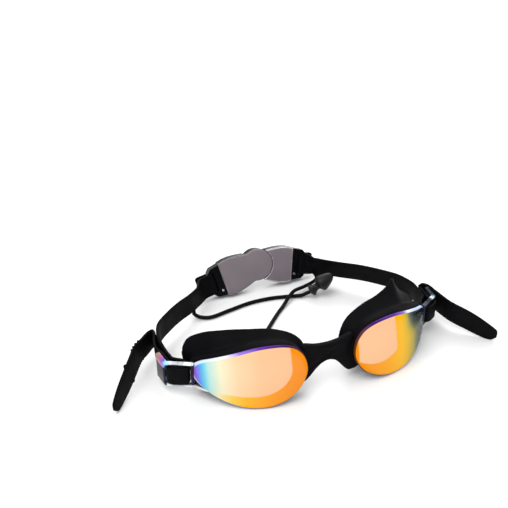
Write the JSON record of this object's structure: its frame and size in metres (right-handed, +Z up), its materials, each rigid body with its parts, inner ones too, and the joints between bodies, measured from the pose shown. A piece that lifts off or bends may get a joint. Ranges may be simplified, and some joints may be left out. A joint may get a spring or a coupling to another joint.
{
  "type": "swim goggles",
  "caption": "Swim goggles with wrapped mirrored lenses, a one-piece soft gasket, strap halves joined by a turning rear clasp, and ear plugs on thin cords.",
  "frame": {"origin": "middle of the footprint on the resting plane, with the cords and ear plugs left out", "axes": "+X towards the wearer's left, +Y from the lenses back to the strap clasp, +Z up as the goggles lie on a surface"},
  "size_m": [0.2298, 0.124, 0.0423],
  "materials": {
    "mirror_lens": "glossy mirror coat that shades from orange through gold to cyan and violet at the temple",
    "clear_film": "thin clear film",
    "black_silicone": "matte",
    "black_plastic": "glossy",
    "satin_grey": "satin",
    "rivet_steel": "satin"
  },
  "bodies": {
    "goggles": {"gasket": "black_silicone", "lens_left": "mirror_lens", "lens_right": "mirror_lens", "lens_film_left": "clear_film", "lens_film_right": "clear_film", "strap_left": "black_silicone", "strap_right": "black_silicone", "clasp_body_left": "black_plastic", "clasp_plate_left": "satin_grey", "clasp_rivet_left": "rivet_steel", "clasp_stud": "black_plastic", "ear_plug_left": "black_silicone", "ear_plug_right": "black_silicone", "ear_plug_cord_left": "black_silicone", "ear_plug_cord_right": "black_silicone"},
    "clasp_right": {"clasp_body_right": "black_plastic", "clasp_plate_right": "satin_grey", "clasp_rivet_right": "rivet_steel", "strap_right_end": "black_silicone"}
  },
  "joints": [
    {"name": "clasp_pivot", "type": "hinge", "parent": "goggles", "child": "clasp_right", "pos_m": [0.00286, 0.05594, 0.01661], "axis": [0, 0.9511, -0.309], "range_deg": [-8, 24]}
  ]
}
